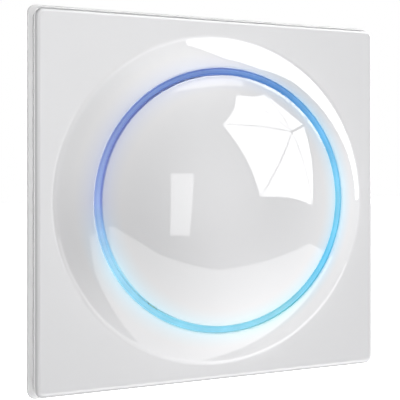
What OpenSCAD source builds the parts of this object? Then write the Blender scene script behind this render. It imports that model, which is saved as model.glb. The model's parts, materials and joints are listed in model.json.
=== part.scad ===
// Flush wall controller with a square cover, a lit ring and a domed push button.
//
// Working axes while drawing: x to the right, y up, z straight out of the wall.
// upright() turns them into the row's axes: +X right, +Z up, front facing -Y.
// The origin is the centre of the bracket's slot pattern, on the wall plane.

/* [Cover and base] */
// Width and height of the base layer that lies on the wall
base_w = 81.4; // [80:0.1:98]
// Width and height of the front cover
cover_w = 79.2; // [78:0.1:95]
// Thickness of the base layer
base_t = 3; // [2.6:0.1:3.4]
// Height of the shadow gap between base and cover
gap_h = 0.7; // [0.4:0.1:0.9]
// Height of the cover's own side
cover_side_h = 3.3; // [3:0.1:4]
// Radius of the upright corners
corner_r = 1.8; // [1.3:0.1:3]
// Rounding along the cover's front edges
edge_r = 1.2; // [0.4:0.1:1.2]
// Wall thickness of the cover
cover_wall = 1.8; // [1.5:0.1:2.1]

/* [Swell and dome] */
// Diameter of the foot of the swell around the ring
swell_d = 71.5; // [70:0.5:74]
// Height of the swell's rim above the wall
swell_top = 11.3; // [10.8:0.1:12]
// Height of the dome's rim above the wall
dome_edge = 11.1; // [10.6:0.1:11.8]
// Rise of the dome from its rim to its middle
dome_rise = 4.9; // [4:0.1:7]
// Wall thickness of the dome
dome_wall = 1.8; // [1.4:0.1:2]
// Height of the dome's straight skirt
skirt_h = 1.8; // [1.2:0.1:2]

/* [Light ring] */
// Outer diameter of the light ring
ring_od = 56.4; // [46:0.2:58]
// Radial width of the light ring
ring_w = 1.1; // [1:0.1:1.6]
// Width of the ring's seating flange beyond the ring
ring_flange = 0.9; // [0.6:0.1:1]
// Number of light-emitting diodes under the ring
led_count = 16; // [8:2:24]

/* [Push mechanism] */
// Travel of the dome
travel = 0.8; // [0.4:0.1:0.8]
// Radius of the guide posts
post_r = 2; // [1.8:0.1:2.2]
// Distance of each switch from the middle
switch_at = 12; // [9:0.5:13]
// Width of a switch body
switch_w = 6.2; // [5:0.1:7]
// Turns of a return spring
spring_turns = 4; // [3:1:5]
// Wire radius of a return spring
spring_wire_r = 0.18; // [0.12:0.02:0.2]

/* [Insert behind the wall] */
// Width and height of the insert's housing
insert_w = 45; // [37.5:0.5:46]
// Depth of the insert behind the wall plane
insert_d = 26.8; // [26.5:0.1:33]
// Wall thickness of the insert's housing
insert_wall = 1.5; // [1.2:0.1:1.6]
// Number of wire terminals
pole_count = 5; // [3:1:5]
// Distance from one terminal to the next
pole_pitch = 6.4; // [5.4:0.1:7.6]

/* [Bracket] */
// Width and height of the steel bracket
bracket_w = 71; // [70:0.5:72]
// Thickness of the steel bracket
bracket_t = 1; // [0.8:0.1:1]
// Distance between the two fixing slots of a pair
slot_spacing = 60; // [60:0.5:61]
// Width of a fixing slot
slot_w = 4; // [3.6:0.1:4.4]
// Length of a fixing slot, end to end
slot_len = 8; // [6:0.5:8.5]

/* [Clearances] */
// Gap between pieces that fit into each other and do not move
fit_gap = 0.2; // [0.1:0.05:0.25]
// Gap around the moving dome
dome_gap = 0.2; // [0.15:0.05:0.3]
// Radial gap of the sliding fits
slide_gap = 0.06; // [0.03:0.01:0.08]
// Height left free between stacked pieces
stack_gap = 0.3; // [0.2:0.05:0.35]

/* [Hidden] */
$fa = 4;
$fs = 0.35;
FINE = 240;
eps = 0.01;

// Heights above the wall plane, from the wall outwards
cover_z0 = base_t + gap_h;
cover_z1 = cover_z0 + cover_side_h;
ceiling_z = cover_z1 - cover_wall;
pocket_z = bracket_t + fit_gap;
flange_z0 = bracket_t;
flange_z1 = bracket_t + 1;
chassis_z1 = base_t + 1.2;
board_z0 = chassis_z1 + 1;
board_z1 = board_z0 + 1;
reflector_h = 1.4;
reflector_z1 = board_z1 + reflector_h;
ring_flange_h = 0.8;
ring_top = dome_edge;
carrier_t = 1;
bush_z1 = board_z1 - 0.2;
peg_r = post_r - 0.6;

// Radii of the ring, the dome and the swell
ring_r1 = ring_od / 2;
ring_r0 = ring_r1 - ring_w;
ring_mid_r = (ring_r0 + ring_r1) / 2;
dome_r = ring_r0 - dome_gap;
dome_R = (pow(dome_r, 2) + pow(dome_rise, 2)) / (2 * dome_rise);
dome_c = dome_edge + dome_rise - dome_R;
skirt_z0 = dome_edge - skirt_h;
swell_r = swell_d / 2;
bore_r = ring_r1 + fit_gap / 2;
swell_c = (pow(ring_r1, 2) + pow(swell_top, 2) - pow(swell_r, 2) - pow(cover_z1, 2))
    / (2 * (swell_top - cover_z1));
swell_R = norm([swell_r, cover_z1 - swell_c]);
carrier_r = dome_r - dome_wall - fit_gap;
carrier_z1 = dome_c + sqrt(pow(dome_R - dome_wall, 2) - pow(carrier_r, 2)) - fit_gap / 2;
carrier_z0 = carrier_z1 - carrier_t;
board_r = ring_r1 + 2.2;
chassis_r = board_r + 2;
reflector_r0 = ring_r0 - 1.1;
reflector_r1 = ring_r1 + ring_flange + 0.4;
reflector_wall = 0.8;
led_w = 2;
led_h = 0.8;

// Guide posts and their bushes, as far out as the reflector leaves room
bush_wall = 1.2;
post_out = reflector_r0 - post_r - bush_wall - fit_gap;
post_at = post_out / sqrt(2);
switch_r = 1.5;

// Rim of the base layer and the hooks of the cover
rim_w = cover_w - 2 * (cover_wall + fit_gap);
rim_wall = 1.2;
rim_z1 = ceiling_z - stack_gap;
hook_at = [-13, 13];
hook_len = 6;
hook_t = 1;
hook_z0 = base_t + stack_gap;
barb = 0.6;
barb_h = 0.6;
rim_in = rim_w / 2 - rim_wall;

// Fixings
tab_x = bracket_w / 2 - 2;
tab_y = 22;
tab_len = 7;
tab_t = 1;
tab_top = ceiling_z - 0.4;
tab_slot = [4, base_t + fit_gap, base_t + fit_gap + 0.9];
latch_t = 0.8;
latch_w = 3;
latch_h = 1.3;
latch_tooth_h = 0.7;
ear_at = 27;
ear_r = 3.5;
ear_screw_r = 1.2;
ear_sink = 0.7;
ear_sink_r = 2.3;
flange_size = [insert_w + 13, insert_w - 3];
flange_screw = [flange_size.x / 2 - 3, flange_size.y / 2 - 3];
flange_screw_r = 1.25;
head_h = 0.9;
board_screw_r = 0.9;
board_screw_head_r = 1.7;
board_screw_at = reflector_r0 - board_screw_head_r - 2.3;
wall_screw_head_r = 4.5;
window = [flange_size.x + 2, insert_w + 2];

// Inside of the insert
inner_w = insert_w - 2 * insert_wall;
usual_inner_w = 42;
spread = inner_w / usual_inner_w;
insert_floor = insert_wall - insert_d;
shelf = [2, 4];
lid_t = 1;
lid_z0 = 0.8;
power_z0 = -8;
power_t = 1.6;
power_z1 = power_z0 + power_t;
block_size = [pole_count * pole_pitch, 10, 13];
block_y0 = -insert_w / 2;
post_w = (inner_w - block_size.x) / 2 - 1;
shelf_y = -(block_y0 + block_size.y) - 4.5;
block_z0 = insert_floor;
cage = [4, 6, 4.4];
cage_wall = 0.7;
cage_z0 = block_z0 + 5.6;
cage_y0 = block_y0 + 1.5;
terminal_head_r = 1.9;
terminal_screw_r = 1.2;
terminal_screw_y = cage_y0 + cage.y / 2;
tail = [1.2, 0.8];
tail_y = cage_y0 + cage.y - 1.4;
header_at = [0, -8];
header_grid = [5, 2];
header_pitch = 2.54;
header_size = [header_grid.x * header_pitch, header_grid.y * header_pitch];
header_hole = [header_size.x + 3, header_size.y + 3];
pin_w = 0.64;
socket_h = 2.8;
radio_at = [-8, 9] * spread;
radio_size = [15, 12, 0.8];
antenna_z = power_z1 + 4;
antenna_r = 0.4;

// Parts on the power board, spread over the room that the housing gives them
relay_size = [18.2 * spread, 10.2 * spread, 15.2];
relay_at = [relay_size.x / 2 + 0.3, 10.6 * spread];
transformer_at = [0.5, -1.4] * spread;
transformer_size = [10 * spread, 9 * spread, 9];
transformer_z1 = power_z0 - 1;
transformer_z0 = transformer_z1 - transformer_size.z;
leg = 2 * spread;
yoke = 2;
winding_x = (transformer_size.x / 2 - leg) / 2;
winding_w = transformer_size.x / 2 - 1.5 * leg;
bay_y0 = block_y0 + block_size.y;
bay_y1 = relay_at.y - relay_size.y / 2;
capacitor_r = (bay_y1 - bay_y0 - 2) / 4;
capacitor_h = 12;
capacitor_y = bay_y0 + capacitor_r + 1.1;
capacitor_at = [[13 * spread, capacitor_y], [13 * spread, capacitor_y + 2 * capacitor_r + 0.4]];

// ---------- Shapes that repeat ----------

// Turns the working axes into the row's axes
module upright() {
    rotate([90, 0, 0]) children();
}

// Rectangle with rounded corners
module rounded_rect(size, r) {
    square([size.x - 2 * r, size.y], center = true);
    square([size.x, size.y - 2 * r], center = true);
    for (x = [-1, 1], y = [-1, 1])
        translate([x * (size.x / 2 - r), y * (size.y / 2 - r)]) circle(r);
}

// Plate with rounded corners between two heights
module plate(size, r, z0, z1) {
    translate([0, 0, z0]) linear_extrude(z1 - z0) rounded_rect(size, r);
}

// Plain block, centred in x and y, between two heights
module block(size, z0, z1) {
    translate([-size.x / 2, -size.y / 2, z0]) cube([size.x, size.y, z1 - z0]);
}

// Round pillar between two heights
module pillar(r, z0, z1) {
    translate([0, 0, z0]) cylinder(h = z1 - z0, r = r);
}

// Round tube between two heights
module tube(r, bore, z0, z1) {
    translate([0, 0, z0]) linear_extrude(z1 - z0) difference() {
        circle(r);
        circle(bore);
    }
}

// Side view of a slab whose two front edges are rounded
module slab_profile(w, h, r) {
    translate([-w / 2, 0]) square([w, h - r]);
    translate([r - w / 2, 0]) square([w - 2 * r, h]);
    for (x = [-1, 1]) translate([x * (w / 2 - r), h - r]) circle(r);
}

// Square slab with rounded upright corners and rounded front edges
module soft_slab(w, corner, edge, z0, z1) {
    intersection() {
        plate([w, w], corner, z0, z1);
        translate([0, 0, z0]) rotate([90, 0, 0])
            linear_extrude(2 * w, center = true) slab_profile(w, z1 - z0, edge);
        translate([0, 0, z0]) rotate([90, 0, 90])
            linear_extrude(2 * w, center = true) slab_profile(w, z1 - z0, edge);
    }
}

// Places its children at the four corners of a rectangle, mirrored on the left
module at_corners(x, y) {
    for (sx = [-1, 1], sy = [-1, 1])
        translate([sx * x, sy * y, 0]) mirror([sx < 0 ? 1 : 0, 0, 0]) children();
}

// Places its children at the four wall screw positions, turned to face outwards
module at_slots() {
    for (turn = [0:90:270]) rotate(turn) translate([slot_spacing / 2, 0, 0]) children();
}

// Cross recess cut into a screw head whose top is at z
module cross_recess(r, z) {
    for (turn = [0, 90]) rotate(turn) block([1.5 * r, 0.4], z - 0.5, z + 1);
}

// Screw: a shank between z0 and z1, and a round head from z1 to z1 + h
module screw(r, head_r, z0, z1, h) {
    difference() {
        union() {
            pillar(r, z0, z1 + eps);
            pillar(head_r, z1, z1 + h);
        }
        cross_recess(head_r, z1 + h);
    }
}

// ---------- Bracket and insert ----------

module support_bracket() {
    color("silver") upright() {
        difference() {
            plate([bracket_w, bracket_w], 3, 0, bracket_t);
            plate([insert_w + 1.4, insert_w + 1.4], 1, -1, bracket_t + 1);
            at_slots() plate([slot_len, slot_w], slot_w / 2 - eps, -1, bracket_t + 1);
            at_corners(flange_screw.x, flange_screw.y)
                pillar(flange_screw_r + slide_gap, -1, bracket_t + 1);
        }
        at_corners(tab_x, tab_y) difference() {
            block([tab_t, tab_len], bracket_t - eps, tab_top);
            block([tab_t + 1, tab_slot[0]], tab_slot[1], tab_slot[2]);
        }
    }
}

module rear_housing() {
    color("gainsboro") upright() {
        difference() {
            union() {
                plate([insert_w, insert_w], 2, -insert_d, flange_z1);
                plate(flange_size, 3, flange_z0, flange_z1);
            }
            block([inner_w, inner_w], insert_floor, flange_z1 + 1);
            at_slots() pillar(wall_screw_head_r, flange_z0 - 1, flange_z1 + 1);
            at_corners(flange_screw.x, flange_screw.y)
                pillar(flange_screw_r + fit_gap, 0, flange_z1 + 1);
            translate([0, block_y0 - 1, block_z0 - fit_gap])
                translate([-block_size.x / 2 - fit_gap, 0, 0])
                    cube([block_size.x + 2 * fit_gap, insert_wall + 2, block_size.z + 2 * fit_gap]);
            terminal_places() translate([0, terminal_screw_y, 0])
                pillar(terminal_head_r + 2 * fit_gap, -insert_d - 1, insert_floor + 1);
        }
        at_corners((inner_w - post_w) / 2 + eps, (inner_w - post_w) / 2 + eps)
            block([post_w, post_w], insert_floor - eps, lid_z0);
        at_corners((inner_w - shelf.x) / 2 + eps, shelf_y)
            block(shelf, insert_floor - eps, power_z0);
    }
}

module housing_lid() {
    w = inner_w - 2 * fit_gap;
    color("lightgray") upright() difference() {
        plate([w, w], 1, lid_z0, lid_z0 + lid_t);
        translate(header_at) block(header_hole, lid_z0 - 1, lid_z0 + lid_t + 1);
    }
}

module housing_screws() {
    color("silver") upright() at_corners(flange_screw.x, flange_screw.y)
        screw(flange_screw_r, 2.2, eps, flange_z1, head_h);
}

// Places its children on the x position of each wire terminal
module terminal_places() {
    for (i = [0:pole_count - 1])
        translate([(i - (pole_count - 1) / 2) * pole_pitch, 0, 0]) children();
}

module terminal_block() {
    entry = [cage.x + 2 * fit_gap, cage.y + 1.5 + fit_gap, cage.z + 2 * fit_gap];
    color("whitesmoke") upright() difference() {
        translate([-block_size.x / 2, block_y0, block_z0]) cube(block_size);
        terminal_places() {
            translate([-entry.x / 2, block_y0 - eps, cage_z0 - fit_gap]) cube(entry);
            translate([0, terminal_screw_y, 0]) {
                pillar(terminal_head_r + fit_gap, block_z0 - 1, block_z0 + 2.5);
                pillar(terminal_screw_r + fit_gap, block_z0, cage_z0);
            }
            translate([0, tail_y, 0])
                block([tail.x + 0.4, tail.y + 0.4], cage_z0 + cage.z, block_z0 + block_size.z + 1);
        }
    }
}

module terminal_clamps() {
    color("goldenrod") upright() terminal_places() {
        difference() {
            translate([-cage.x / 2, cage_y0, cage_z0]) cube(cage);
            translate([cage_wall - cage.x / 2, cage_y0 - 1, cage_z0 + cage_wall])
                cube([cage.x - 2 * cage_wall, cage.y + 2, cage.z - 2 * cage_wall]);
            translate([0, terminal_screw_y, 0])
                pillar(terminal_screw_r + slide_gap, cage_z0 - 1, cage_z0 + cage_wall + eps);
        }
        translate([0, tail_y, 0]) block(tail, cage_z0 + cage.z - eps, power_z1 + 0.5);
    }
}

module terminal_screws() {
    head_z = block_z0 + 0.3;
    color("silver") upright() terminal_places() translate([0, terminal_screw_y, 0])
        difference() {
            union() {
                pillar(terminal_head_r, head_z, head_z + 1.8);
                pillar(terminal_screw_r, head_z, cage_z0 + cage_wall + 0.8);
            }
            block([2 * terminal_head_r + 1, 0.6], head_z - 1, head_z + 0.8);
        }
}

module power_board() {
    w = inner_w - 2 * fit_gap;
    color("seagreen") upright() difference() {
        block([w, w], power_z0, power_z1);
        at_corners(w / 2, w / 2)
            block([2 * post_w + 2 * fit_gap, 2 * post_w + 2 * fit_gap], power_z0 - 1, power_z1 + 1);
        terminal_places() translate([0, tail_y, 0])
            block([tail.x + 0.4, tail.y + 0.4], power_z0 - 1, power_z1 + 1);
        header_places() block([pin_w + 0.2, pin_w + 0.2], power_z0 - 1, power_z1 + 1);
    }
}

// One relay standing on the rear side of the power board, left (-1) or right (1)
module relay(side) {
    foot_h = 0.6;
    color("black") upright() translate([side * relay_at.x, relay_at.y, 0]) {
        plate(relay_size, 0.6, power_z0 - relay_size.z, power_z0 - foot_h);
        block([relay_size.x - 1, relay_size.y - 1], power_z0 - foot_h - eps, power_z0);
    }
}

module relay_left() {
    relay(-1);
}

module relay_right() {
    relay(1);
}

module transformer_core() {
    color("dimgray") upright() translate(transformer_at) difference() {
        block(transformer_size, transformer_z0, transformer_z1);
        for (side = [-1, 1]) translate([side * winding_x, 0, 0])
            block([winding_w, transformer_size.y + 1], transformer_z0 + yoke, transformer_z1 - yoke);
    }
}

module transformer_winding() {
    z0 = transformer_z0 + yoke + fit_gap;
    z1 = transformer_z1 - yoke - fit_gap;
    color("gold") upright() translate(transformer_at) for (side = [-1, 1])
        translate([side * winding_x, 0, 0])
            plate([winding_w - 2 * fit_gap, transformer_size.y + 1], 0.3, z0, z1);
}

module filter_capacitors() {
    bead = 0.6;
    color("midnightblue") upright() for (at = capacitor_at) translate(at) {
        pillar(capacitor_r, power_z0 - capacitor_h + bead, power_z0);
        pillar(capacitor_r - 0.5, power_z0 - capacitor_h, power_z0 - capacitor_h + bead + eps);
    }
}

module safety_capacitor() {
    size = [9, 5] * spread;
    color("goldenrod") upright() translate([-12.2, -8.6] * spread)
        plate(size, 0.5, power_z0 - 11, power_z0);
}

module fuse_resistor() {
    body_r = 1.7 * spread;
    lead_r = 0.4;
    color("seagreen") upright() translate([-16.4, 0] * spread) {
        pillar(body_r, power_z0 - 10, power_z0 - 1);
        pillar(lead_r, power_z0 - 1 - eps, power_z0);
    }
}

module surge_varistor() {
    r = 4 * spread;
    thick = 3 * spread;
    lead_r = 0.35;
    lead_x = 2.5 * spread;
    color("royalblue") upright() translate([-9.8 * spread, 1.6 * spread, power_z0 - r - 1.5])
        rotate([90, 0, 0]) {
            cylinder(h = thick, r = r, center = true);
            for (x = [-lead_x, lead_x]) translate([x, r + 0.2, 0]) rotate([90, 0, 0])
                cylinder(h = 2.6, r = lead_r, center = true);
        }
}

module bridge_rectifier() {
    size = [7, 5];
    x = header_at.x + (header_size.x + size.x) / 2 + 0.15;
    color("black") upright() translate([x, -10 * spread])
        plate(size, 0.4, power_z1, power_z1 + 2.4);
}

// Places its children at every pin of the connector between the two boards
module header_places() {
    for (i = [0:header_grid.x - 1], j = [0:header_grid.y - 1])
        translate([
            header_at.x + (i - (header_grid.x - 1) / 2) * header_pitch,
            header_at.y + (j - (header_grid.y - 1) / 2) * header_pitch,
            0
        ]) children();
}

module header_base() {
    color("black") upright() difference() {
        translate(header_at) block(header_size, power_z1, power_z1 + 2.5);
        header_places() block([pin_w + 0.04, pin_w + 0.04], power_z1 - 1, power_z1 + 4);
    }
}

module header_pins() {
    color("gold") upright() header_places() block([pin_w, pin_w], power_z0 - 1, board_z0 - 0.6);
}

module header_socket() {
    color("black") upright() difference() {
        translate(header_at) block(header_size, board_z0 - socket_h, board_z0);
        header_places() block([pin_w + 0.1, pin_w + 0.1], board_z0 - socket_h - 1, board_z0 - 0.4);
    }
}

module radio_board() {
    color("seagreen") upright() translate(radio_at)
        block(radio_size, power_z1, power_z1 + radio_size.z);
}

module radio_shield() {
    z0 = power_z1 + radio_size.z;
    color("silver") upright() translate([radio_at.x + 1.5, radio_at.y, 0])
        plate([10, 9], 0.5, z0, z0 + 2);
}

module radio_antenna() {
    bend_r = 15;
    first = 10;
    last = 155;
    lead_at = [bend_r * cos(last), bend_r * sin(last)];
    color("silver") upright() {
        translate([0, 0, antenna_z]) rotate(first) rotate_extrude(angle = last - first)
            translate([bend_r, 0]) circle(antenna_r, $fn = 24);
        translate(lead_at) pillar(antenna_r, power_z1 + radio_size.z, antenna_z);
        translate([lead_at.x, lead_at.y, antenna_z]) sphere(antenna_r + 0.15, $fn = 24);
    }
}

module controller_chip() {
    color("black") upright() translate([9, 5, 0]) {
        block([6, 6], power_z1 + 0.1, power_z1 + 1.1);
        block([8, 8], power_z1, power_z1 + 0.15);
    }
}

// ---------- Front: base layer, board, ring ----------

module base_frame() {
    rim_r = corner_r - 0.5;
    color("white") upright() difference() {
        union() {
            plate([base_w, base_w], corner_r, 0, base_t);
            difference() {
                plate([rim_w, rim_w], rim_r, base_t - eps, rim_z1);
                block([2 * rim_in, 2 * rim_in], base_t - 1, rim_z1 + 1);
            }
            at_corners(tab_x, tab_y)
                translate([tab_t / 2 + 2 * fit_gap, -latch_w / 2, base_t - eps]) {
                    cube([latch_t, latch_w, latch_h]);
                    translate([-3 * fit_gap, 0, tab_slot[1] + 0.1 - base_t])
                        cube([3 * fit_gap + eps, latch_w, latch_tooth_h]);
                }
        }
        block([bracket_w + 1, bracket_w + 1], -1, pocket_z);
        plate(window, 2, -1, base_t + 1);
        at_slots() pillar(wall_screw_head_r, -1, base_t + 1);
        at_corners(tab_x, tab_y) block([tab_t + 4 * fit_gap, tab_len + 1], -1, base_t);
        at_corners(ear_at, ear_at) pillar(ear_screw_r + slide_gap, 0, base_t + 1);
        for (turn = [0:90:270], at = hook_at) rotate(turn)
            translate([rim_w / 2, at, 0])
                block([4, hook_len + 1], base_t + 0.1, base_t + 1.1);
    }
}

// Outline of the chassis: a disc with four ears, open around the wall screws and the connector
module chassis_outline() {
    difference() {
        union() {
            circle(chassis_r);
            for (turn = [45, 135]) rotate(turn)
                square([2 * (ear_at * sqrt(2) + 2), 2 * ear_r - 1.2], center = true);
            at_corners(ear_at, ear_at) circle(ear_r);
        }
        at_slots() circle(wall_screw_head_r);
        translate(header_at) square(header_hole, center = true);
        at_corners(ear_at, ear_at) circle(ear_screw_r + fit_gap);
        at_corners(post_at, post_at) circle(post_r + slide_gap);
        for (at = board_screw_places()) translate(at) circle(board_screw_r + slide_gap);
    }
}

module front_chassis() {
    foot = 0.2;
    color("dimgray") upright() {
        difference() {
            translate([0, 0, base_t]) linear_extrude(chassis_z1 - base_t) chassis_outline();
            at_corners(ear_at, ear_at) pillar(ear_sink_r, chassis_z1 - ear_sink, chassis_z1 + 1);
        }
        at_corners(post_at, post_at)
            tube(post_r + bush_wall, post_r + slide_gap, chassis_z1 - foot, bush_z1);
        for (at = board_screw_places()) translate(at)
            tube(2.4, board_screw_r + slide_gap, chassis_z1 - foot, board_z0);
    }
}

module chassis_screws() {
    color("silver") upright() at_corners(ear_at, ear_at)
        screw(ear_screw_r, ear_sink_r - 0.3, pocket_z + 0.2, chassis_z1 - ear_sink, head_h);
}

// Where the front board is screwed down
function board_screw_places() = [
    for (turn = [0:90:270]) [board_screw_at * cos(turn), board_screw_at * sin(turn)]
];

module front_board() {
    color("darkgreen") upright() difference() {
        pillar(board_r, board_z0, board_z1);
        at_corners(post_at, post_at)
            pillar(post_r + bush_wall + stack_gap, board_z0 - 1, board_z1 + 1);
        for (at = board_screw_places()) translate(at)
            pillar(board_screw_r + fit_gap, board_z0 - 1, board_z1 + 1);
    }
}

module board_screws() {
    color("silver") upright() for (at = board_screw_places()) translate(at)
        screw(board_screw_r, board_screw_head_r, base_t + 0.2, board_z1, head_h);
}

// Places its children at every diode on the board
module led_places() {
    for (i = [0:led_count - 1]) rotate((i + 0.5) * 360 / led_count)
        translate([ring_mid_r, 0, 0]) children();
}

module ring_leds() {
    lens_r = 0.75;
    color("ivory") upright() led_places() difference() {
        block([led_w, led_w], board_z1, board_z1 + led_h);
        pillar(lens_r, board_z1 + led_h - 0.2, board_z1 + led_h + 1);
    }
}

module ring_reflector() {
    pocket = led_w + 2 * fit_gap;
    color("white") upright() difference() {
        pillar(reflector_r1, board_z1, reflector_z1);
        pillar(reflector_r0, board_z1 - 1, reflector_z1 + 1);
        difference() {
            pillar(reflector_r1 - reflector_wall, board_z1 + 0.5, reflector_z1 + 1);
            pillar(reflector_r0 + reflector_wall, board_z1, reflector_z1 + 2);
        }
        led_places() block([pocket, pocket], board_z1 - 1, board_z1 + 1);
    }
}

module light_ring() {
    lip = 0.35;
    color("lightcyan") upright() rotate_extrude($fn = FINE) {
        translate([ring_r0, reflector_z1]) square([ring_w, ring_top - lip - reflector_z1]);
        translate([ring_r0 + lip, reflector_z1])
            square([ring_w - 2 * lip, ring_top - reflector_z1]);
        translate([ring_r0, reflector_z1]) square([ring_w + ring_flange, ring_flange_h]);
    }
}

// ---------- Push mechanism ----------

// Body of one push switch, left (-1) or right (1)
module switch_body(side) {
    color("black") upright() translate([side * switch_at, 0, 0]) difference() {
        plate([switch_w, switch_w], 0.5, board_z1, reflector_z1);
        pillar(switch_r + slide_gap, board_z1 + 0.1, reflector_z1 + 1);
    }
}

module switch_left() {
    switch_body(-1);
}

module switch_right() {
    switch_body(1);
}

// Plunger of one push switch, which touches the carrier through a thin gap
module plunger(side) {
    color("ivory") upright() translate([side * switch_at, 0, 0])
        pillar(switch_r, board_z1 + 0.15 + travel, carrier_z0 - 0.05);
}

module plunger_left() {
    plunger(-1);
}

module plunger_right() {
    plunger(1);
}

// One coil spring: a wire swept along a helix between two heights
module coil_spring(coil_r, wire_r, z0, z1, turns) {
    sides = 6;
    steps = 16;
    count = turns * steps;
    points = [
        for (i = [0:count], j = [0:sides - 1])
            let (a = i * 360 / steps, b = j * 360 / sides, r = coil_r + wire_r * cos(b))
                [r * cos(a), r * sin(a), z0 + (z1 - z0) * i / count + wire_r * sin(b)]
    ];
    walls = [
        for (i = [0:count - 1], j = [0:sides - 1])
            let (k = (j + 1) % sides, m = i * sides)
                [m + j, m + sides + j, m + sides + k, m + k]
    ];
    first_cap = [for (j = [0:sides - 1]) j];
    last_cap = [for (j = [sides - 1:-1:0]) count * sides + j];
    polyhedron(points, concat(walls, [first_cap, last_cap]));
}

module return_springs() {
    margin = spring_wire_r + 0.05;
    color("silver") upright() at_corners(post_at, post_at)
        coil_spring(post_r + 0.5, spring_wire_r, bush_z1 + margin, carrier_z0 - margin, spring_turns);
}

module button_carrier() {
    post_z0 = base_t + 0.4;
    color("lightgray") upright() difference() {
        union() {
            pillar(carrier_r, carrier_z0, carrier_z1);
            at_corners(post_at, post_at) pillar(post_r, post_z0, carrier_z1);
        }
        at_corners(post_at, post_at) pillar(peg_r + slide_gap, post_z0 + 1, carrier_z1 + 1);
    }
}

module dome_button() {
    rim_round = 0.4;
    peg_top = dome_c + sqrt(pow(dome_R - dome_wall, 2) - pow(post_out, 2)) + 0.2;
    color("white") upright() {
        rotate_extrude($fn = FINE) difference() {
            intersection() {
                translate([0, dome_c]) circle(dome_R, $fn = 4 * FINE);
                union() {
                    translate([0, skirt_z0]) square([dome_r - rim_round, dome_rise + skirt_h + 1]);
                    translate([0, skirt_z0]) square([dome_r, skirt_h - rim_round]);
                    translate([dome_r - rim_round, dome_edge - rim_round]) circle(rim_round);
                }
            }
            intersection() {
                translate([0, dome_c]) circle(dome_R - dome_wall, $fn = 4 * FINE);
                translate([0, skirt_z0 - 1]) square([dome_r - dome_wall, dome_rise + skirt_h + 2]);
            }
        }
        at_corners(post_at, post_at) pillar(peg_r, base_t + 2, peg_top);
    }
}

module cover_frame() {
    cavity = cover_w - 2 * cover_wall;
    color("white") upright() {
        difference() {
            union() {
                soft_slab(cover_w, corner_r, edge_r, cover_z0, cover_z1);
                rotate_extrude($fn = FINE) swell_section(0);
            }
            block([cavity, cavity], cover_z0 - 1, ceiling_z);
            rotate_extrude($fn = FINE) swell_section(cover_wall);
            pillar(bore_r, cover_z0, swell_top + 1);
        }
        for (turn = [0:90:270], at = hook_at) rotate(turn) translate([rim_in - fit_gap, at, 0]) {
            translate([-hook_t, -hook_len / 2, hook_z0])
                cube([hook_t, hook_len, ceiling_z - hook_z0 + eps]);
            translate([-hook_t, 0.5 - hook_len / 2, hook_z0])
                cube([hook_t + fit_gap + barb, hook_len - 1, barb_h]);
        }
    }
}

// Half section of the swell, or of the hollow under it when inset is the wall
module swell_section(inset) {
    low = inset > 0 ? ceiling_z - eps : ceiling_z;
    intersection() {
        translate([0, swell_c]) circle(swell_R - inset, $fn = 4 * FINE);
        translate([0, low]) square([swell_r, swell_top - low]);
    }
}

support_bracket();
rear_housing();
housing_lid();
housing_screws();
terminal_block();
terminal_clamps();
terminal_screws();
power_board();
relay_left();
relay_right();
transformer_core();
transformer_winding();
filter_capacitors();
safety_capacitor();
fuse_resistor();
surge_varistor();
bridge_rectifier();
header_base();
header_pins();
header_socket();
radio_board();
radio_shield();
radio_antenna();
controller_chip();
base_frame();
front_chassis();
chassis_screws();
front_board();
board_screws();
ring_leds();
ring_reflector();
light_ring();
switch_left();
switch_right();
plunger_left();
plunger_right();
return_springs();
button_carrier();
dome_button();
cover_frame();
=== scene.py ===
"""Looks of the smart home wall controller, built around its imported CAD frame.

Lengths are in metres. The front faces -Y, +X is to the right and +Z is up. "out" is the
distance in front of the wall plane, so a point's y is minus its out.
"""

import json
import math

import bmesh
import bpy
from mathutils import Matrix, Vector

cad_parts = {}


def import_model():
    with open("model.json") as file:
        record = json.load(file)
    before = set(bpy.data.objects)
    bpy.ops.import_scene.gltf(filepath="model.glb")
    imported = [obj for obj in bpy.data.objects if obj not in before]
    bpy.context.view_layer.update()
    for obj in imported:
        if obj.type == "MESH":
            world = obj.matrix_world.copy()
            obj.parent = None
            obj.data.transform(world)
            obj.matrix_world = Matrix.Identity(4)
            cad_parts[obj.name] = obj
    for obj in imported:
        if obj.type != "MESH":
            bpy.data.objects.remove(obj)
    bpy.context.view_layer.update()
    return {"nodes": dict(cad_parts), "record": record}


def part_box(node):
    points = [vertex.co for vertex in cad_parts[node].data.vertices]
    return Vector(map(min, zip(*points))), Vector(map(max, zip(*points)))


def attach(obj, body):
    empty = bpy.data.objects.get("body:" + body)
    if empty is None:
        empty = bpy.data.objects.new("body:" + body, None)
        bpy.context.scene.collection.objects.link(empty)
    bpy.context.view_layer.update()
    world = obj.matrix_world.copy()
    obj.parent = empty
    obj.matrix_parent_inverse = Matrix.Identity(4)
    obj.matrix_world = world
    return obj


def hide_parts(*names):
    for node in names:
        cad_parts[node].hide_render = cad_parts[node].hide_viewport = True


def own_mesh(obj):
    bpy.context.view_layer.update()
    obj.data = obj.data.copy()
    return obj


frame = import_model()

MM = 0.001
TAU = 2 * math.pi


# ---------- Sizes, read from the CAD frame ----------

def span(node):
    """Half width, back and front distance from the wall of a CAD node."""
    low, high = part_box(node)
    return (high[0] - low[0]) / 2, -high[1], -low[1]


BASE_HALF, _, RIM_TOP = span("base_frame")
COVER_HALF, _, SWELL_TOP = span("cover_frame")
DOME_R, _, DOME_TOP = span("dome_button")
BRACKET_HALF, _, _ = span("support_bracket")
RING_TOP = span("light_ring")[2]

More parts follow.
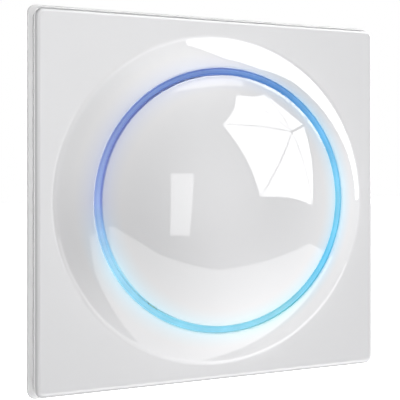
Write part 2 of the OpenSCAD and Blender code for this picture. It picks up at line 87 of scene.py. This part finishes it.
BASE_T = 3.0 * MM
COVER_BACK = 3.7 * MM
COVER_FRONT = 7.0 * MM
COVER_WALL = 1.8 * MM
CORNER_R = 1.8 * MM
EDGE_R = 1.2 * MM
SWELL_R = 35.75 * MM
RING_R0 = DOME_R + 0.2 * MM
RING_R1 = RING_R0 + 1.1 * MM
RING_MID = (RING_R0 + RING_R1) / 2
DOME_EDGE = RING_TOP
DOME_RISE = DOME_TOP - DOME_EDGE
SKIRT_H = 1.8 * MM


# ---------- Loops and skins ----------

SIDE_STEPS = 60
CORNER_STEPS = 8
LATHE_STEPS = 288
ON_AXIS = 1e-9


def quarter_angles():
    """Angles of one quadrant's points, dense where the square's corner is."""
    start = math.atan((COVER_HALF - CORNER_R) / COVER_HALF)
    end = math.pi / 2 - start
    side = [-start + 2 * start * i / SIDE_STEPS for i in range(SIDE_STEPS)]
    corner = [start + (end - start) * i / CORNER_STEPS for i in range(CORNER_STEPS)]
    return side, corner


def loop_angles():
    side, corner = quarter_angles()
    return [q * math.pi / 2 + a for q in range(4) for a in side + corner]


ANGLES = loop_angles()


def circle_loop(r, out):
    return [(r * math.cos(a), -out, r * math.sin(a)) for a in ANGLES]


def square_loop(half, corner, out):
    """Loop round a square with rounded corners, with as many points as circle_loop."""
    points = []
    straight = half - corner
    for q in range(4):
        turn = q * math.pi / 2
        local = [(half, straight * (2 * i / SIDE_STEPS - 1)) for i in range(SIDE_STEPS)]
        for i in range(CORNER_STEPS):
            a = math.pi / 2 * i / CORNER_STEPS
            local.append((straight + corner * math.cos(a), straight + corner * math.sin(a)))
        for u, v in local:
            x = u * math.cos(turn) - v * math.sin(turn)
            z = u * math.sin(turn) + v * math.cos(turn)
            points.append((x, -out, z))
    return points


def skin(name, loops):
    """Closed mesh of quads through loops that have the same number of points."""
    n = len(loops[0])
    verts = [p for loop in loops for p in loop]
    faces = []
    for i in range(len(loops)):
        a, b = i * n, (i + 1) % len(loops) * n
        faces += [(a + j, a + (j + 1) % n, b + (j + 1) % n, b + j) for j in range(n)]
    return mesh_object(name, verts, faces)


def mesh_object(name, verts, faces, smooth=True):
    mesh = bpy.data.meshes.new(name)
    mesh.from_pydata(verts, [], faces)
    mesh.validate()
    obj = bpy.data.objects.new(name, mesh)
    bpy.context.scene.collection.objects.link(obj)
    if smooth:
        mesh.polygons.foreach_set("use_smooth", [True] * len(mesh.polygons))
        mesh.set_sharp_from_angle(angle=math.radians(40))
    fix_normals(obj)
    return obj


def fix_normals(obj):
    """Turns all faces outwards."""
    work = bmesh.new()
    work.from_mesh(obj.data)
    bmesh.ops.recalc_face_normals(work, faces=work.faces)
    work.to_mesh(obj.data)
    work.free()


def arc(cx, cy, r, a0, a1, steps):
    """Points on an arc from angle a0 to a1, in degrees, both ends included."""
    angles = [math.radians(a0 + (a1 - a0) * i / steps) for i in range(steps + 1)]
    return [(cx + r * math.cos(a), cy + r * math.sin(a)) for a in angles]


def lathe(name, profile):
    """Closed solid of revolution about the Y axis through (radius, out) points.

    A point on the axis becomes one vertex.
    """
    verts, rows = [], []
    segments = LATHE_STEPS
    for r, out in profile:
        if r < ON_AXIS:
            rows.append([len(verts)] * segments)
            verts.append((0, -out, 0))
            continue
        rows.append(list(range(len(verts), len(verts) + segments)))
        verts += [(r * math.cos(TAU * j / segments), -out, r * math.sin(TAU * j / segments))
                  for j in range(segments)]
    faces = []
    ring = len(profile) if profile[0][0] > ON_AXIS else len(profile) - 1
    for i in range(ring):
        a, b = rows[i], rows[(i + 1) % len(rows)]
        for j in range(segments):
            k = (j + 1) % segments
            face = [a[j], a[k], b[k], b[j]]
            faces.append(tuple(dict.fromkeys(face)))
    faces = [f for f in faces if len(f) > 2]
    return mesh_object(name, verts, faces)


# ---------- Materials ----------

# Most of a noise texture's values lie between these
NOISE_LOW = 0.3
NOISE_HIGH = 0.7
# Height of every surface's fine grain
GRAIN = 0.02 * MM


def new_material(name):
    material = bpy.data.materials.new(name)
    material.use_nodes = True
    tree = material.node_tree
    shader = tree.nodes["Principled BSDF"]
    return material, tree, shader


def node(tree, kind, **inputs):
    made = tree.nodes.new(kind)
    for key, value in inputs.items():
        setattr(made, key, value)
    return made


def math_node(tree, operation, a, b=None, clamp=False):
    made = node(tree, "ShaderNodeMath", operation=operation, use_clamp=clamp)
    for i, value in enumerate((a, b)):
        if value is None:
            continue
        if isinstance(value, (int, float)):
            made.inputs[i].default_value = value
        else:
            tree.links.new(value, made.inputs[i])
    return made.outputs[0]


def object_position(tree):
    return node(tree, "ShaderNodeTexCoord").outputs["Object"]


def noise(tree, scale, detail):
    made = node(tree, "ShaderNodeTexNoise")
    tree.links.new(object_position(tree), made.inputs["Vector"])
    made.inputs["Scale"].default_value = scale
    made.inputs["Detail"].default_value = detail
    return made.outputs["Fac"]


def ramp(tree, value, stops):
    made = node(tree, "ShaderNodeValToRGB")
    elements = made.color_ramp.elements
    while len(elements) > 1:
        elements.remove(elements[-1])
    elements[0].position, elements[0].color = stops[0][0], (*stops[0][1], 1)
    for position, colour in stops[1:]:
        elements.new(position).color = (*colour, 1)
    tree.links.new(value, made.inputs[0])
    return made.outputs["Color"]


def grey_ramp(tree, value, low, high):
    return ramp(tree, value, [(NOISE_LOW, (low,) * 3), (NOISE_HIGH, (high,) * 3)])


def add_bump(tree, shader, height, strength, distance):
    bump = node(tree, "ShaderNodeBump")
    bump.inputs["Strength"].default_value = strength
    bump.inputs["Distance"].default_value = distance
    tree.links.new(height, bump.inputs["Height"])
    tree.links.new(bump.outputs[0], shader.inputs["Normal"])


def tint(tree, value, base, spread):
    """Colour that wavers a little about a base colour."""
    low = tuple(max(0.0, c * (1 - spread)) for c in base)
    high = tuple(min(1.0, c * (1 + spread)) for c in base)
    return ramp(tree, value, [(NOISE_LOW, low), (NOISE_HIGH, high)])


def plastic(name, base, roughness, grain_scale, grain, spread=0.02):
    """Moulded plastic: faint colour drift, uneven gloss and a fine surface texture."""
    material, tree, shader = new_material(name)
    tree.links.new(tint(tree, noise(tree, 90, 4), base, spread), shader.inputs["Base Color"])
    gloss = grey_ramp(tree, noise(tree, 300, 2), roughness * 0.8, roughness * 1.2)
    tree.links.new(gloss, shader.inputs["Roughness"])
    add_bump(tree, shader, noise(tree, grain_scale, 2), grain, GRAIN)
    return material


def metal(name, base, roughness, brushed=True):
    material, tree, shader = new_material(name)
    shader.inputs["Metallic"].default_value = 1.0
    grain = node(tree, "ShaderNodeTexNoise")
    stretch = node(tree, "ShaderNodeMapping")
    stretch.inputs["Scale"].default_value = (60, 60, 3000) if brushed else (900, 900, 900)
    tree.links.new(object_position(tree), stretch.inputs["Vector"])
    tree.links.new(stretch.outputs[0], grain.inputs["Vector"])
    grain.inputs["Scale"].default_value = 1.0
    tree.links.new(tint(tree, noise(tree, 150, 4), base, 0.08), shader.inputs["Base Color"])
    tree.links.new(grey_ramp(tree, grain.outputs["Fac"], roughness * 0.7, roughness * 1.4),
                   shader.inputs["Roughness"])
    add_bump(tree, shader, grain.outputs["Fac"], 0.15, GRAIN)
    return material


def ring_colour(tree, stops):
    """Colour by the angle round the front axis. Angles start at the right, anticlockwise."""
    split = node(tree, "ShaderNodeSeparateXYZ")
    tree.links.new(object_position(tree), split.inputs[0])
    angle = math_node(tree, "ARCTAN2", split.outputs["Z"], split.outputs["X"])
    turn = math_node(tree, "FRACT", math_node(tree, "ADD", math_node(tree, "DIVIDE", angle, TAU), 1.0))
    radius = math_node(tree, "SQRT", math_node(
        tree, "ADD",
        math_node(tree, "MULTIPLY", split.outputs["X"], split.outputs["X"]),
        math_node(tree, "MULTIPLY", split.outputs["Z"], split.outputs["Z"])))
    return ramp(tree, turn, stops), radius


# Linear colours of the light round the ring, by turns from the right, anticlockwise. They follow
# colours of the photograph, averaged every 30 degrees by a scratch script, with changes by hand.
RING_LIGHT = [
    (0.00, (0.21, 0.62, 0.83)),
    (0.08, (0.13, 0.46, 0.76)),
    (0.17, (0.07, 0.23, 0.54)),
    (0.25, (0.11, 0.20, 0.50)),
    (0.33, (0.12, 0.19, 0.47)),
    (0.42, (0.20, 0.26, 0.55)),
    (0.50, (0.27, 0.36, 0.66)),
    (0.58, (0.32, 0.64, 0.82)),
    (0.67, (0.24, 0.63, 0.79)),
    (0.75, (0.24, 0.64, 0.80)),
    (0.83, (0.24, 0.60, 0.70)),
    (0.92, (0.12, 0.55, 0.80)),
    (1.00, (0.21, 0.62, 0.83)),
]
# Linear colours of the glow painted as emission into the plastic beside the ring, from the same averages
PAINTED_HALO_LIGHT = [
    (0.00, (0.05, 0.27, 0.34)),
    (0.12, (0.04, 0.16, 0.26)),
    (0.25, (0.05, 0.02, 0.11)),
    (0.38, (0.03, 0.00, 0.09)),
    (0.50, (0.05, 0.02, 0.14)),
    (0.58, (0.14, 0.34, 0.40)),
    (0.67, (0.13, 0.28, 0.29)),
    (0.75, (0.14, 0.25, 0.21)),
    (0.83, (0.02, 0.23, 0.18)),
    (0.92, (0.00, 0.20, 0.30)),
    (1.00, (0.05, 0.27, 0.34)),
]
# Painted tint beside the ring: share of the white light that the lit plastic beside the ring still gives
# back
PAINTED_HALO_TINT = (0.50, 0.72, 0.92)
# The painted glow's tight rim fades over the first length, its wide part ends at the second
RIM_FADE = 0.5 * MM
WIDE_END = 4.2 * MM
RIM_SHARE = 0.40
WIDE_SHARE = 0.66


def painted_halo_share(tree, radius):
    """Share of the ring's light painted into the plastic at a radius: a tight rim of light and a wider
    fading one.
    """
    away = math_node(tree, "MAXIMUM", math_node(tree, "SUBTRACT", math_node(
        tree, "ABSOLUTE", math_node(tree, "SUBTRACT", radius, RING_MID)), (RING_R1 - RING_R0) / 2), 0.0)
    rim = math_node(tree, "MULTIPLY", math_node(
        tree, "EXPONENT", math_node(tree, "DIVIDE", away, -RIM_FADE)), RIM_SHARE)
    fade = math_node(tree, "SUBTRACT", 1.0, math_node(tree, "DIVIDE", away, WIDE_END), clamp=True)
    wide = math_node(tree, "MULTIPLY", math_node(tree, "POWER", fade, 1.5), WIDE_SHARE)
    return math_node(tree, "ADD", rim, wide)


def glossy_cover(name):
    """High gloss white plastic with the ring's light painted in beside the ring, as glow and as tint."""
    material, tree, shader = new_material(name)
    colour, radius = ring_colour(tree, PAINTED_HALO_LIGHT)
    share = painted_halo_share(tree, radius)
    white = tint(tree, noise(tree, 90, 4), (0.72, 0.72, 0.725), 0.008)
    # Painted tint: beside the ring the plastic's colour turns towards a darker, bluer one as the painted
    # glow grows
    far, near = tuple(0.72 * c for c in PAINTED_HALO_TINT), tuple(0.70 * c for c in PAINTED_HALO_TINT)
    lit = ramp(tree, share, [(0.0, far), (1.0, near)])
    tree.links.new(mixed(tree, share, white, lit), shader.inputs["Base Color"])
    tree.links.new(grey_ramp(tree, noise(tree, 300, 2), 0.022, 0.036), shader.inputs["Roughness"])
    # Painted glow: the ring's light beside the ring, painted into the plastic as emission
    tree.links.new(colour, shader.inputs["Emission Color"])
    tree.links.new(share, shader.inputs["Emission Strength"])
    add_bump(tree, shader, noise(tree, 500, 2), 0.03, GRAIN)
    return material


def mixed(tree, factor, a, b):
    made = node(tree, "ShaderNodeMix", data_type="RGBA")
    tree.links.new(factor, made.inputs[0])
    tree.links.new(a, made.inputs[6])
    tree.links.new(b, made.inputs[7])
    return made.outputs[2]


def lit_ring(name):
    material, tree, shader = new_material(name)
    colour, _ = ring_colour(tree, RING_LIGHT)
    tree.links.new(tint(tree, noise(tree, 400, 2), (0.02, 0.04, 0.08), 0.2), shader.inputs["Base Color"])
    tree.links.new(grey_ramp(tree, noise(tree, 400, 2), 0.25, 0.35), shader.inputs["Roughness"])
    shader.inputs["Specular IOR Level"].default_value = 0.1
    tree.links.new(colour, shader.inputs["Emission Color"])
    ripple = grey_ramp(tree, noise(tree, 220, 2), 0.92, 1.06)
    tree.links.new(ripple, shader.inputs["Emission Strength"])
    add_bump(tree, shader, noise(tree, 900, 2), 0.05, GRAIN)
    return material


def paint(obj, material):
    obj.data.materials.clear()
    obj.data.materials.append(material)


# ---------- Front pieces ----------

def swell_circle():
    """Centre (out) and radius of the sphere through the swell's foot and its rim."""
    centre = (RING_R1 ** 2 + SWELL_TOP ** 2 - SWELL_R ** 2 - COVER_FRONT ** 2) / (
        2 * (SWELL_TOP - COVER_FRONT))
    return centre, math.hypot(SWELL_R, COVER_FRONT - centre)


def build_cover(material):
    """Cover with its swell, from the bore's lower end over the front and back through the inside."""
    lip = 0.3 * MM
    bore = RING_R1 + 0.12 * MM
    bore_low = 9.3 * MM
    shelf_low = 9.25 * MM
    foot_start = SWELL_R - 0.6 * MM
    slope_steps = 26
    fillet_steps = 8
    back_edge = 0.25 * MM
    inside_corner = 0.3 * MM
    hollow = SWELL_R - 1.2 * MM
    hollow_steps = 6
    centre, radius = swell_circle()

    def swell_out(r, inset=0.0):
        return centre + math.sqrt((radius - inset) ** 2 - r ** 2)

    loops = [circle_loop(bore, bore_low)]
    lip_at = swell_out(bore + lip) - lip * 1.05
    loops += [circle_loop(r, out) for r, out in arc(bore + lip, lip_at, lip, 180, 98, 6)]
    for i in range(1, slope_steps + 1):
        r = bore + lip + (foot_start - bore - lip) * i / slope_steps
        loops.append(circle_loop(r, swell_out(r)))
    # Concave fillet from the swell's slope to the flat face
    drop = swell_out(foot_start) - COVER_FRONT
    reach = 2 * drop * (swell_out(foot_start) - centre) / foot_start
    for i in range(1, fillet_steps + 1):
        t = i / fillet_steps
        loops.append(circle_loop(foot_start + reach * t, COVER_FRONT + drop * (1 - t) ** 2))
    inner_half = COVER_HALF - EDGE_R
    inner_corner = CORNER_R - EDGE_R
    flat = square_loop(inner_half, inner_corner, COVER_FRONT)
    last = loops[-1]
    # Loops close to both ends keep the flat face's shading flat
    for t in (0.02, 0.35, 0.7, 0.985):
        loops.append([tuple(Vector(p).lerp(Vector(q), t)) for p, q in zip(last, flat)])
    loops.append(flat)
    for a, b in arc(0, 0, EDGE_R, 82, 0, 8):
        loops.append(square_loop(inner_half + a, inner_corner + a, COVER_FRONT - EDGE_R + b))
    half, corner, out = COVER_HALF - back_edge, CORNER_R - back_edge, COVER_BACK + back_edge
    for a, b in arc(0, 0, back_edge, 0, -90, 4):
        loops.append(square_loop(half + a, corner + a, out + b))
    inside = COVER_HALF - COVER_WALL
    ceiling = COVER_FRONT - COVER_WALL
    loops.append(square_loop(inside, inside_corner, COVER_BACK))
    loops.append(square_loop(inside, inside_corner, ceiling))
    loops.append(circle_loop(hollow, ceiling))
    for i in range(1, hollow_steps + 1):
        r = hollow + (bore - hollow) * i / hollow_steps
        loops.append(circle_loop(r, min(swell_out(r, COVER_WALL), shelf_low)))
    cover = skin("cover_shell", loops)
    paint(cover, material)
    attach(cover, "housing")
    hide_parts("cover_frame")


def build_base(material):
    """Base with a rim that stands inside the cover, round an opening and the bracket's pocket."""
    edge = 0.35 * MM
    floor_t = 1.2 * MM
    pocket_corner = 1 * MM
    rim_corner = 1.3 * MM
    rim_inner_corner = 0.5 * MM
    rim_out = COVER_HALF - COVER_WALL - 0.2 * MM
    rim_in = rim_out - 1.2 * MM
    pocket = BRACKET_HALF + 0.5 * MM
    opening = 30 * MM
    loops = [square_loop(pocket, pocket_corner, floor_t), square_loop(pocket, pocket_corner, 0)]
    for a, b in arc(0, 0, edge, -90, 0, 4):
        loops.append(square_loop(BASE_HALF - edge + a, CORNER_R - edge + a, edge + b))
    for a, b in arc(0, 0, edge, 0, 90, 4):
        loops.append(square_loop(BASE_HALF - edge + a, CORNER_R - edge + a, BASE_T - edge + b))
    loops.append(square_loop(rim_out, rim_corner, BASE_T))
    loops.append(square_loop(rim_out, rim_corner, RIM_TOP))
    loops.append(square_loop(rim_in, rim_inner_corner, RIM_TOP))
    loops.append(square_loop(rim_in, rim_inner_corner, BASE_T))
    loops.append(square_loop(opening, pocket_corner, BASE_T))
    loops.append(square_loop(opening, pocket_corner, floor_t))
    base = skin("base_shell", loops)
    paint(base, material)
    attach(base, "housing")
    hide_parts("base_frame")


def build_dome(material):
    """Domed button cap: a shallow sphere with a rounded edge and a skirt, hollow behind."""
    edge = 0.45 * MM
    dome_steps = 48
    inner_steps = 12
    wall = 1.8 * MM
    radius = (DOME_R ** 2 + DOME_RISE ** 2) / (2 * DOME_RISE)
    centre = DOME_TOP - radius

    def dome_out(r, inset=0.0):
        return centre + math.sqrt((radius - inset) ** 2 - r ** 2)

    rim_r = DOME_R - edge
    profile = [(0, DOME_TOP)]
    outer = [rim_r * i / dome_steps for i in range(1, dome_steps + 1)]
    profile += [(r, dome_out(r)) for r in outer]
    profile += arc(rim_r, dome_out(rim_r) - edge, edge, 68, 0, 6)
    inner = DOME_R - wall
    skirt = DOME_EDGE - SKIRT_H
    profile += [(DOME_R, skirt), (inner, skirt)]
    under = [inner * i / inner_steps for i in range(inner_steps, 0, -1)]
    profile += [(r, dome_out(r, wall)) for r in under]
    profile.append((0, dome_out(0, wall)))
    dome = lathe("dome_cap", profile)
    paint(dome, material)
    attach(dome, "button")
    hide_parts("dome_button")
    return dome


def build_ring(material):
    """Light guide: a ring with a rounded crown and a flange at its foot."""
    crown = 0.5 * MM
    seat = 7.6 * MM
    flange_t = 0.8 * MM
    flange_r = RING_R1 + 0.9 * MM
    inner = RING_R0 + 0.05 * MM
    outer = RING_R1 - 0.02 * MM
    profile = [(inner, seat)]
    profile += arc(inner + crown, RING_TOP - crown, crown, 180, 90, 6)
    profile += arc(outer - crown, RING_TOP - crown, crown, 90, 0, 6)
    profile += [(outer, seat + flange_t), (flange_r, seat + flange_t), (flange_r, seat)]
    ring = lathe("light_guide_ring", profile)
    paint(ring, material)
    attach(ring, "housing")
    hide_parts("light_ring")


def build_springs(material):
    """Coil springs round the button's posts."""
    wire_r = 0.18 * MM
    coil_r = 2.5 * MM
    turns = 4
    sides = 8
    steps = turns * 32
    low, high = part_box("return_springs")
    out_x = high[0] - coil_r - wire_r
    start, end = high[1] - wire_r, low[1] + wire_r
    along = Vector((0, 1, 0))
    verts, faces = [], []
    for sx, sz in ((1, 1), (1, -1), (-1, 1), (-1, -1)):
        first = len(verts)
        for i in range(steps + 1):
            turn = TAU * turns * i / steps
            across = Vector((math.cos(turn), 0, math.sin(turn)))
            centre = Vector((sx * out_x, start + (end - start) * i / steps, sz * out_x)) + coil_r * across
            for k in range(sides):
                a = TAU * k / sides
                verts.append(tuple(centre + wire_r * (math.cos(a) * across + math.sin(a) * along)))
        for i in range(steps):
            for k in range(sides):
                here, beside = first + i * sides + k, first + i * sides + (k + 1) % sides
                faces.append((here, beside, beside + sides, here + sides))
        faces.append(tuple(first + k for k in range(sides)))
        faces.append(tuple(first + steps * sides + k for k in reversed(range(sides))))
    springs = mesh_object("return_coils", verts, faces)
    paint(springs, material)
    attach(springs, "housing")
    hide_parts("return_springs")
    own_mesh(springs)


# ---------- Stage ----------

def camera():
    data = bpy.data.cameras.new("camera")
    view = bpy.data.objects.new("camera", data)
    bpy.context.scene.collection.objects.link(view)
    data.sensor_width = 36
    data.lens = 64.44
    data.shift_y = -0.0875
    data.clip_start = 0.01
    data.clip_end = 20
    view.location = (-57.6 * MM, -153.2 * MM, 7.6 * MM)
    view.rotation_euler = (math.pi / 2, 0, math.radians(-20.0))
    bpy.context.scene.camera = view


# Metres from the dome to the reflected cards
CARDS_AWAY = 8.0


def towards(azimuth, elevation, distance):
    """Point seen from the dome in a direction. Azimuth 0 is straight out, positive to the right."""
    a, e = math.radians(azimuth), math.radians(elevation)
    return Vector((math.sin(a) * math.cos(e), -math.cos(a) * math.cos(e), math.sin(e))) * distance


def glow_card(name, corners, strength):
    """Emissive card whose corners lie in the given directions: it shows in reflections only."""
    verts = [tuple(towards(a, e, CARDS_AWAY)) for a, e in corners]
    return light_up(mesh_object(name, verts, [tuple(range(len(verts)))], smooth=False), strength)


def glow_strip(name, near_edge, far_edge, strength):
    """Emissive strip between two rows of directions."""
    verts = [tuple(towards(a, e, CARDS_AWAY)) for a, e in near_edge + far_edge]
    n = len(near_edge)
    faces = [(i, i + 1, n + i + 1, n + i) for i in range(n - 1)]
    return light_up(mesh_object(name, verts, faces, smooth=False), strength)


def light_up(card, strength):
    """Gives a card a glow that adds to what lies behind it."""
    material = bpy.data.materials.new(card.name)
    material.use_nodes = True
    tree = material.node_tree
    tree.nodes.clear()
    light = node(tree, "ShaderNodeEmission")
    light.inputs["Color"].default_value = (1, 1, 1, 1)
    light.inputs["Strength"].default_value = strength
    clear = node(tree, "ShaderNodeBsdfTransparent")
    both = node(tree, "ShaderNodeAddShader")
    output = node(tree, "ShaderNodeOutputMaterial")
    tree.links.new(light.outputs[0], both.inputs[0])
    tree.links.new(clear.outputs[0], both.inputs[1])
    tree.links.new(both.outputs[0], output.inputs[0])
    card.data.materials.append(material)
    card.visible_camera = False
    card.visible_diffuse = False
    card.visible_shadow = False
    return card


def floor():
    """Pale floor, kept out of the part's reflections, where the cards stand for the room."""
    verts = [(-3, -0.30, -0.16), (3, -0.30, -0.16), (3, 3, -0.16), (-3, 3, -0.16)]
    plane = mesh_object("floor", verts, [(0, 1, 2, 3)], smooth=False)
    material, tree, shader = new_material("pale_floor")
    tree.links.new(grey_ramp(tree, noise(tree, 3, 2), 0.90, 0.94), shader.inputs["Base Color"])
    shader.inputs["Roughness"].default_value = 0.9
    shader.inputs["Emission Color"].default_value = (1, 1, 1, 1)
    shader.inputs["Emission Strength"].default_value = 1.0
    plane.data.materials.append(material)
    plane.visible_diffuse = False
    plane.visible_glossy = False
    plane.visible_shadow = False


# Soft lights of the room: azimuth, elevation, sharpness, strength. Their first strengths came from
# a fit to the photograph, and were then changed.
ROOM = [
    (85, 0, 7, 1.8),
    (10, -70, 7, 1.5),
    (70, -40, 7, 1.2),
    (70, 45, 7, 0.5),
    (-55, 42, 7, 0.5),
    (-90, -30, 7, 0.5),
    (-112, 0, 7, 0.9),
]
# Light that comes from everywhere
ROOM_FILL = 0.12
# Large soft panels that only the part's gloss picks up, set the same way
SHEEN = [
    (15, 5, 8, 6.5),
    (15, -20, 8, 1.8),
    (15, 30, 8, 1.2),
    (-10, 55, 8, 7.5),
    (40, 55, 8, 7.5),
    (-35, 30, 8, 5.0),
    (-35, 0, 8, 3.2),
    (-60, 5, 8, 3.0),
    (-35, -45, 8, 4.5),
    (40, -45, 8, 5.0),
    (65, 5, 8, 3.5),
    (-165, 0, 8, 3.6),
]


def soft_lights(tree, lights):
    """Strength in each direction of a sum of soft round lights."""
    direction = node(tree, "ShaderNodeTexCoord").outputs["Generated"]
    total = None
    for azimuth, elevation, sharpness, strength in lights:
        facing = node(tree, "ShaderNodeVectorMath", operation="DOT_PRODUCT")
        tree.links.new(direction, facing.inputs[0])
        facing.inputs[1].default_value = towards(azimuth, elevation, 1.0)
        away = math_node(tree, "SUBTRACT", facing.outputs["Value"], 1.0)
        light = math_node(tree, "EXPONENT", math_node(tree, "MULTIPLY", away, sharpness))
        light = math_node(tree, "MULTIPLY", light, strength)
        total = light if total is None else math_node(tree, "ADD", total, light)
    return total


def world():
    made = bpy.data.worlds.new("studio")
    made.use_nodes = True
    bpy.context.scene.world = made
    tree = made.node_tree
    tree.nodes.clear()
    path = node(tree, "ShaderNodeLightPath")
    seen = node(tree, "ShaderNodeBackground")
    seen.inputs["Strength"].default_value = 1.0
    seen.inputs["Color"].default_value = (1, 1, 1, 1)
    room = node(tree, "ShaderNodeBackground")
    room.inputs["Color"].default_value = (0.99, 0.99, 1.0, 1)
    sheen = math_node(tree, "MULTIPLY", soft_lights(tree, SHEEN), path.outputs["Is Glossy Ray"])
    lit = math_node(tree, "ADD", soft_lights(tree, ROOM), ROOM_FILL)
    tree.links.new(math_node(tree, "ADD", lit, sheen), room.inputs["Strength"])
    mix = node(tree, "ShaderNodeMixShader")
    output = node(tree, "ShaderNodeOutputWorld")
    tree.links.new(path.outputs["Is Camera Ray"], mix.inputs[0])
    tree.links.new(room.outputs[0], mix.inputs[1])
    tree.links.new(seen.outputs[0], mix.inputs[2])
    tree.links.new(mix.outputs[0], output.inputs[0])
    bpy.context.scene.view_settings.view_transform = "Standard"


def shine_on(card, pieces):
    """Lets a card show in these pieces only, as a flag beside the lamp would."""
    group = bpy.data.collections.new(card.name + "_lit")
    for piece in pieces:
        group.objects.link(piece)
    card.light_linking.receiver_collection = group


def umbrella(strength, pieces):
    """Photographer's umbrella: panels between ribs, scalloped at the edge, with thin seams."""
    hub = Vector((53, 20))
    tips = [Vector(t) for t in ((58.5, -4), (34, -1), (21.5, 26), (32, 36), (47, 34), (60, 21))]
    seam = 0.45
    for i in range(len(tips)):
        a, b = tips[i], tips[(i + 1) % len(tips)]
        into = ((a + b) / 2 - hub).normalized() * seam
        edge = []
        for k in range(7):
            t = k / 6
            point = a.lerp(b, t)
            edge.append(point.lerp(hub, 0.2 * t * (1 - t)))
        corners = [tuple(c + into) for c in [hub] + edge]
        shine_on(glow_card("umbrella_%d" % i, corners, strength), pieces)


def lights(dome):
    """Cards whose corners are directions, azimuth and elevation, in which the gloss shows them.

    The corners were placed by working out which way the photograph's bright shapes are reflected.
    """
    umbrella(8.0, [dome])
    near_edge = [(24, 68), (38.5, 61), (44, 57), (60, 48), (75, 38), (82, 28), (87, 19), (92, 9), (95, -3)]
    far_edge = [(24, 70), (45, 76), (60, 78), (90, 74), (110, 62), (118, 45), (118, 30), (118, 15),
                (118, -3)]
    glow_strip("side_box", near_edge, far_edge, 7.0)
    glow_card("window", [(-2.9, -15.6), (5.0, -15.6), (6.3, 7.9), (-2.8, 8.1)], 4.0)
    glow_strip("table",
               [(-25, -12), (-15, -18), (-6, -23.5), (18, -28.8), (38, -24.6), (60, -16.6)],
               [(-43, -17), (-43, -34), (-34, -60), (15, -80), (65, -64), (84, -20)], 2.4)
    ceiling = glow_strip("ceiling",
                         [(-30, 34), (-5, 39), (20, 41), (38, 39)],
                         [(-30, 60), (-10, 85), (20, 85), (40, 64)], 3.0)
    shine_on(ceiling, [dome])
    glow_card("sky", [(-60, 84), (60, 84), (120, 66), (-120, 66)], 5.0)
    glow_card("edge_light", [(106, -40), (106, 40), (135, 40), (135, -40)], 4.0)


camera()
world()
floor()
# The cover and the dome get this gloss white with the ring's glow painted in beside the ring
cover_material = glossy_cover("cover_gloss_white_painted_glow")
base_material = plastic("base_white", (0.72, 0.72, 0.715), 0.12, 600, 0.015)
build_cover(cover_material)
build_base(base_material)
dome = build_dome(cover_material)
build_ring(lit_ring("ring_light"))
lights(dome)

PLAIN = {
    "housing_plastic": plastic("housing_grey", (0.66, 0.68, 0.68), 0.45, 2500, 0.4),
    "terminal_plastic": plastic("terminal_white", (0.78, 0.78, 0.75), 0.4, 2500, 0.3),
    "black_plastic": plastic("part_black", (0.02, 0.02, 0.022), 0.4, 2500, 0.3),
    "chassis_plastic": plastic("chassis_grey", (0.26, 0.27, 0.28), 0.5, 2500, 0.4),
    "plunger_plastic": plastic("plunger_ivory", (0.75, 0.72, 0.62), 0.4, 2500, 0.3),
    "reflector_plastic": plastic("reflector_white", (0.85, 0.85, 0.84), 0.35, 2500, 0.2),
    "steel": metal("bracket_steel", (0.46, 0.47, 0.48), 0.36),
    "screw_steel": metal("screw_zinc", (0.66, 0.66, 0.64), 0.26, False),
    "spring_steel": metal("spring_steel", (0.5, 0.5, 0.5), 0.3, False),
    "brass": metal("clamp_brass", (0.70, 0.47, 0.18), 0.3, False),
    "pin_gold": metal("pin_gold", (0.80, 0.58, 0.24), 0.22, False),
    "board": plastic("board_green", (0.02, 0.12, 0.05), 0.35, 1500, 0.3, 0.12),
    "ferrite": plastic("ferrite_grey", (0.05, 0.05, 0.052), 0.6, 3000, 0.6),
    "winding_tape": plastic("tape_yellow", (0.70, 0.48, 0.05), 0.3, 1200, 0.2),
    "capacitor_sleeve": plastic("sleeve_blue", (0.02, 0.03, 0.12), 0.25, 1200, 0.1),
    "capacitor_box": plastic("box_amber", (0.60, 0.36, 0.06), 0.3, 1200, 0.1),
    "resistor_coat": plastic("resistor_green", (0.06, 0.18, 0.11), 0.4, 1200, 0.3),
    "varistor_coat": plastic("varistor_blue", (0.03, 0.08, 0.35), 0.35, 1200, 0.3),
    "led": plastic("led_body", (0.80, 0.76, 0.55), 0.3, 1200, 0.1),
}


def paint_cad_nodes():
    """Gives each CAD node that stays the finish of its material slot."""
    slots = {part["node"]: part["material_slot"] for part in frame["record"]["subparts"]}
    for name, obj in frame["nodes"].items():
        finish = PLAIN.get(slots[name])
        if finish is None:
            continue
        if len(obj.material_slots) == 0:
            obj.data.materials.append(finish)
        for slot in obj.material_slots:
            slot.material = finish


build_springs(PLAIN["spring_steel"])
paint_cad_nodes()
